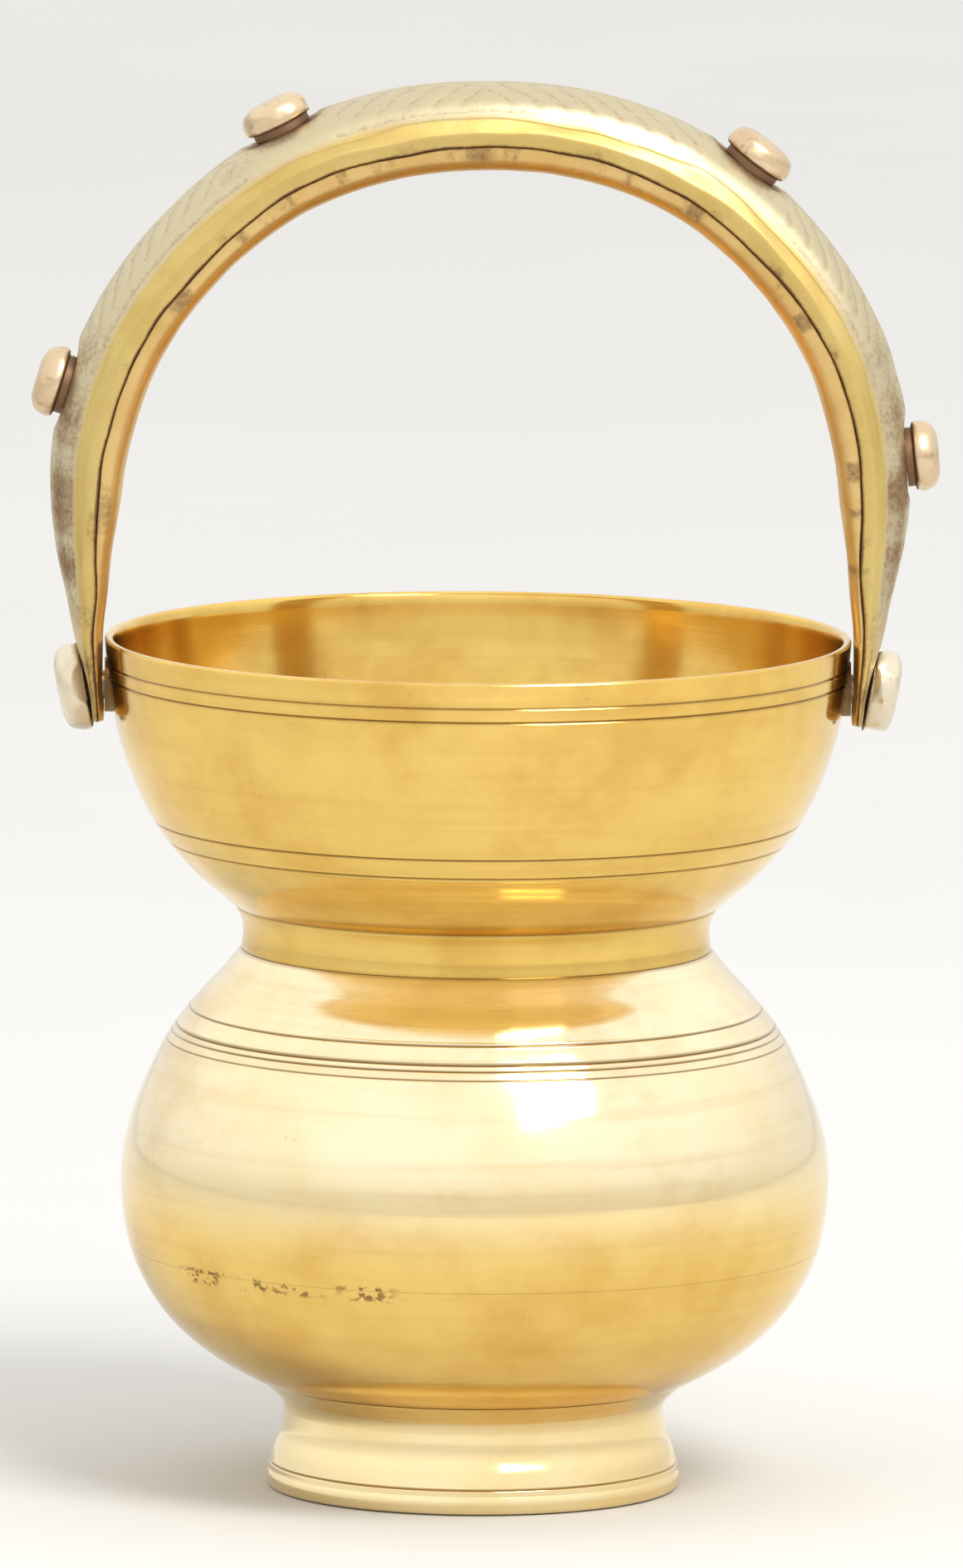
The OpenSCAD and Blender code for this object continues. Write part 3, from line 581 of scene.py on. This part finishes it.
def inner_sections():
    h, w = C[:, 3], C[:, 4]
    s = w / 2 - 0.8
    b = np.minimum(1, h / 4)
    top = seam_wave - 0.06
    half_pts = [(s - 0.38 * b, top), (s - 0.06, top - 0.30 * b - 0.03), (s + 0.0, -0.32 * h), (0.975 * s, -0.56 * h), (0.90 * s, -0.80 * h), (0.77 * s, -0.95 * h), (0.6 * s, -1.0 * h), (0.3 * s, -1.005 * h), (0 * s, -1.01 * h)]
    ctrl = np.stack([np.stack([np.broadcast_to(a, h.shape), np.broadcast_to(c, h.shape)], -1) for a, c in half_pts], 1)
    k = ctrl.shape[1]
    u = np.linspace(0, k - 1, 40)
    i = np.clip(np.floor(u).astype(int), 0, k - 2)
    f = (u - i)[None, :, None]
    P1, P2 = ctrl[:, i], ctrl[:, i + 1]
    P0 = np.where((i > 0)[None, :, None], ctrl[:, np.maximum(i - 1, 0)], 2 * P1 - P2)
    P3 = np.where((i + 2 <= k - 1)[None, :, None], ctrl[:, np.minimum(i + 2, k - 1)], (ctrl[:, k - 2] * [-1, 1])[:, None, :])
    q = 0.5 * (2 * P1 + (P2 - P0) * f + (2 * P0 - 5 * P1 + 4 * P2 - P3) * f ** 2 + (3 * P1 - P0 - 3 * P2 + P3) * f ** 3)
    outer = np.concatenate([q, q[:, ::-1][:, 1:] * [-1, 1]], 1)
    a, z = outer[..., 0], outer[..., 1].copy()
    rng = np.random.default_rng(9)
    dent = np.zeros_like(a)
    for _ in range(150):
        c0, y0, rr = rng.uniform(ARC[0], ARC[-1]), rng.uniform(-13, 13), rng.uniform(2.0, 5.0)
        dent += rng.uniform(-0.05, 0.14) * np.exp(-((ARC - c0) / rr) ** 2)[:, None] * np.exp(-((a - y0) / rr) ** 2)
    z += dent * smooth(h, 1.6, 3.5)[:, None] * smooth(-z, 0.5, 1.5)
    deep = (top[:, None] - z)
    # painted shade along the liner's seam with the strap
    grime_and_shade = 0.85 * (1 - smooth(deep, 0.10, 0.55))
    blot = smooth(wave(ARC / 5, 51)[:, None] + 0.5 * wave(ARC / 1.6, 57)[:, None], -0.15, 0.8)
    grime_and_shade = np.maximum(grime_and_shade, 0.62 * blot * (1 - smooth(deep, 2.0, 4.4)))
    grime_and_shade = np.maximum(grime_and_shade, 0.25 * smooth(wave(ARC / 7, 61)[:, None] + 0.4 * wave(a / 3, 67), 0.3, 1.0))
    c = np.maximum(0.12, h - STRAP_WALL + 0.2)
    iw = s - STRAP_WALL + 0.2
    ins = [(-iw, 0 * c), (-0.97 * iw, -0.35 * c), (-0.9 * iw, -0.7 * c), (-0.6 * iw, -0.98 * c), (0 * iw, -c), (0.6 * iw, -0.98 * c), (0.9 * iw, -0.7 * c), (0.97 * iw, -0.35 * c), (iw, 0 * c)]
    sec_i = np.stack([np.stack([x, y + (top if k in (0, 8) else 0)], -1) for k, (x, y) in enumerate(ins)], 1)
    sec = np.concatenate([np.stack([a, z], -1), sec_i], 1)
    return sec, {"grime_and_shade": np.concatenate([grime_and_shade, np.full(sec_i.shape[:2], 0.9)], 1)}


sec, at = inner_sections()
liner = sweep("strap_inner", sec, at)
liner.data.materials.append(M_LINER)
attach(liner, "handle"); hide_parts("handle_inner_strap")

# ---------------------------------------------------------------- rivets

def hammered(loop, seed, facets, r0, z0, z1, bite, keep_below):
    """A turned head in its own frame, with hammered flats. loop is [radius, height], bottom to top."""
    loop = np.asarray(loop, float)
    seg = 120
    ang = np.linspace(0, 2 * np.pi, seg, endpoint=False)
    p = np.empty((len(loop), seg, 3))
    p[..., 0] = loop[:, 0:1] * np.cos(ang)
    p[..., 1] = loop[:, 0:1] * np.sin(ang)
    p[..., 2] = loop[:, 1:2]
    rng = np.random.default_rng(seed)
    mid = np.array([0, 0, (z0 + z1) / 2])
    hh = (z1 - z0) / 2
    for _ in range(facets):
        a = rng.uniform(0, 6.283)
        e = rng.uniform(-0.5, 1.45)
        n = np.array([math.cos(a) * math.cos(e), math.sin(a) * math.cos(e), math.sin(e)])
        reach = r0 * math.cos(e) + hh * abs(math.sin(e))
        corner = (abs(math.cos(e)) * abs(math.sin(e))) * 1.6
        d = reach - rng.uniform(0.25, 1.0) * bite - corner * 0.9
        over = np.maximum(0, (p - mid) @ n - d)
        over = np.where(p[..., 2] > keep_below, over, 0)
        p -= over[..., None] * n * 0.92
    for _ in range(40):
        a, e = rng.uniform(0, 6.283), rng.uniform(-0.4, 1.5)
        c = mid + np.array([math.cos(a) * math.cos(e) * r0, math.sin(a) * math.cos(e) * r0, math.sin(e) * hh])
        rr = rng.uniform(0.8, 2.2)
        g = np.exp(-np.sum((p - c) ** 2, -1) / rr ** 2) * rng.uniform(0.02, 0.16)
        p -= np.where(p[..., 2] > keep_below, g, 0)[..., None] * (p - mid) / r0
    return p


def place(p, origin, axis):
    """Local +Z goes to axis; axis lies in the XZ plane."""
    ax = np.asarray(axis, float)
    ex = np.array([ax[2], 0, -ax[0]])
    ey = np.array([0.0, 1.0, 0.0])
    return np.asarray(origin) + p[..., 0:1] * ex + p[..., 1:2] * ey + p[..., 2:3] * ax


def rivet(name, node, loop, head_z, seed, facets, r0, bite, origin, axis, mat, body, dark):
    """dark is (height where the painted shade under the head ends, width of the fade)."""
    p = hammered(loop, seed, facets, r0, head_z[0], head_z[1], bite, head_z[0] + 0.3)
    z = p[..., 2]
    rng = np.random.default_rng(seed + 100)
    blot = wave(p[..., 0] * 0.8 + seed, seed + 7) + wave(p[..., 1] * 0.8, seed + 9)
    # painted shade below the head and on its lowest edge, where it overhangs; the blots are stains
    grime_and_shade = np.maximum(0.98 * (1 - smooth(z, dark[0], dark[0] + dark[1])), 0.42 * smooth(blot, 0.45, 1.2))
    q = place(p, origin, axis)
    o = grid_mesh(name, q, False, True, {"grime_and_shade": grime_and_shade, "crown": np.zeros(grime_and_shade.shape)}, sharp=28)
    cap_ends(o, q.shape[0], q.shape[1])
    o.data.materials.append(mat)
    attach(o, body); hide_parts(node)
    return o


def drum(r, h, z):
    """Outline of a head with rounded edges, from its base up to its middle."""
    c = curve_at([[r - 1.2, 0.0], [r - 0.35, 0.35], [r, 1.2], [r - 0.1, h * 0.45], [r - 0.85, h * 0.75], [r - 2.6, h * 0.94], [r * 0.4, h], [0.05, h]], np.linspace(0, 7, 48))
    c[:, 1] = np.clip(c[:, 1], 0, h) + z
    return [list(x) for x in c]


names = ["left_low", "left_high", "right_high", "right_low"]
for k, t in enumerate(STUD_T):
    p = curve_at(stations, t)[0]
    o = outward(np.array([t]))[0]
    seat, bed = p[2] - 1.1, p[3]
    tail = [[0.05, -bed - 0.04], [2.3, -bed - 0.04], [2.5, -bed], [2.5, seat]]
    neck = [[6.0, seat], [6.05, seat + 0.8], [6.0, seat + 1.5]]
    loop = tail + neck + drum(7.3, 5.33, seat + 1.5)
    rivet("stud_" + names[k], "stud_rivet_" + names[k], loop, (seat + 1.5, seat + 6.9), 20 + k, 10, 7.3, 0.7,
          (p[0], 0, p[1]), (o[0], 0, o[1]), M_STUD, "handle", (seat + 1.7, 0.7))

PIVOT_SEAT, HEAD_LEAN = RIM_R + 3.1, math.radians(10)
for side, nm in ((-1, "left"), (1, "right")):
    # the head, square to the sloping ear, then the shank and peened tail along the pivot axis
    head = [[0.05, 0.02], [5.6, 0.02], [5.6, 0.4]] + drum(9.0, 6.2, 0.4)
    ax = (side * math.cos(HEAD_LEAN), 0, -math.sin(HEAD_LEAN))
    h = rivet("pivot_" + nm, "pivot_rivet_" + nm, head, (0.4, 6.6), 60 + side, 26, 9.0, 1.3,
              (side * PIVOT_SEAT, 0, PIVOT_Z), ax, M_PIVOT, "handle", (0.45, 1.0))
    tl = RIM_R - 5.8
    shank = [[0.05, tl - 1], [3.0, tl - 1], [3.6, tl - 0.75], [4.1, tl - 0.3], [4.35, tl - 0.02], [3.0, tl], [3.0, PIVOT_SEAT + 0.5], [0.05, PIVOT_SEAT + 0.5]]
    p = hammered(shank, 90 + side, 6, 4.4, tl - 1, tl, 0.3, 1e6)
    q = place(p, (0, 0, PIVOT_Z), (side, 0, 0))
    o = grid_mesh("pivot_shank_" + nm, q, False, True, {"grime_and_shade": np.full(q.shape[:2], 0.35), "crown": np.zeros(q.shape[:2])}, sharp=28)
    cap_ends(o, q.shape[0], q.shape[1])
    o.data.materials.append(M_PIVOT)
    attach(o, "handle")

for node, mat in (("saddle_washer_left", M_SADDLE_SHADE), ("saddle_washer_right", M_SADDLE_SHADE), ("rove_left", M_ROVE), ("rove_right", M_ROVE)):
    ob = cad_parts[node]
    for s in ob.material_slots:
        s.material = mat

# ---------------------------------------------------------------- floor, light and camera

def make_floor():
    n = 96
    ring = np.linspace(0, 2 * np.pi, n, endpoint=False)
    me = bpy.data.meshes.new("floor")
    vs = [(9 * math.cos(a), 9 * math.sin(a), 0) for a in ring]
    me.from_pydata(vs, [], [list(range(n))])
    o = bpy.data.objects.new("floor", me)
    o.location.z = -0.0002
    bpy.context.scene.collection.objects.link(o)
    m = Nodes("floor_pale")
    co = m.new("ShaderNodeTexCoord").outputs["Object"]
    grain = m.noise(co, 2.2, 4.0, 0.6)
    pale = m.mix(m.ramp(grain, 0.3, 0.7), rgb(0.63, 0.63, 0.625), rgb(0.65, 0.648, 0.64))
    dif = m.new("ShaderNodeBsdfDiffuse", None, Color=pale)
    clear = m.new("ShaderNodeBsdfTransparent")
    geo = m.new("ShaderNodeNewGeometry")
    mx = m.new("ShaderNodeMixShader")      # see-through from below, so that the underside can be looked at
    m.put(mx.inputs[0], geo.outputs["Backfacing"])
    m.put(mx.inputs[1], dif.outputs[0])
    m.put(mx.inputs[2], clear.outputs[0])
    m.t.links.new(mx.outputs[0], m.out.inputs["Surface"])
    me.materials.append(m.mat)


make_floor()


def make_world():
    w = bpy.data.worlds.new("studio")
    bpy.context.scene.world = w
    w.use_nodes = True
    t = w.node_tree
    t.nodes.clear()
    m = Nodes.__new__(Nodes)
    m.t = t
    out = t.nodes.new("ShaderNodeOutputWorld")
    co = m.new("ShaderNodeTexCoord").outputs["Generated"]
    up = m.new("ShaderNodeSeparateXYZ", None, Vector=co).outputs[2]
    # soft white from above, falling off evenly towards the floor
    col = m.mix(m.ramp(up, -0.05, 0.55), rgb(0.74, 0.73, 0.71), rgb(1.0, 0.99, 0.97))
    bg = m.new("ShaderNodeBackground", None, Color=col, Strength=1.22)
    t.links.new(bg.outputs[0], out.inputs["Surface"])


make_world()


def area_light(name, loc, target, size, size_y, power, color):
    L = bpy.data.lights.new(name, "AREA")
    L.shape = "RECTANGLE"
    L.size, L.size_y, L.energy, L.color = size, size_y, power, color
    o = bpy.data.objects.new(name, L)
    o.location = loc
    d = Vector(target) - Vector(loc)
    o.rotation_euler = d.to_track_quat("-Z", "Y").to_euler()
    bpy.context.scene.collection.objects.link(o)


area_light("soft_key", (1.1, -1.6, 2.4), (0, 0, 0.1), 1.2, 1.2, 60, (1.0, 0.98, 0.94))

cam = bpy.data.cameras.new("camera")
cam.lens = 617.0
cam.sensor_width = 36.0
cam.sensor_fit = "AUTO"
cam.clip_end = 60
cam.dof.use_dof = False
co = bpy.data.objects.new("camera", cam)
bpy.context.scene.collection.objects.link(co)
EL = math.radians(7.5)
target = Vector((0.00087, 0, 0.1449))
pos = target + Vector((0, -math.cos(EL), math.sin(EL))) * 5.5
co.location = pos
q = (target - pos).to_track_quat("-Z", "Y")
roll = math.radians(0.37)
co.rotation_euler = (q.to_matrix() @ Matrix.Rotation(roll, 3, "Z")).to_euler()
bpy.context.scene.camera = co
bpy.context.scene.view_settings.view_transform = "Standard"
bpy.context.scene.view_settings.look = "None"
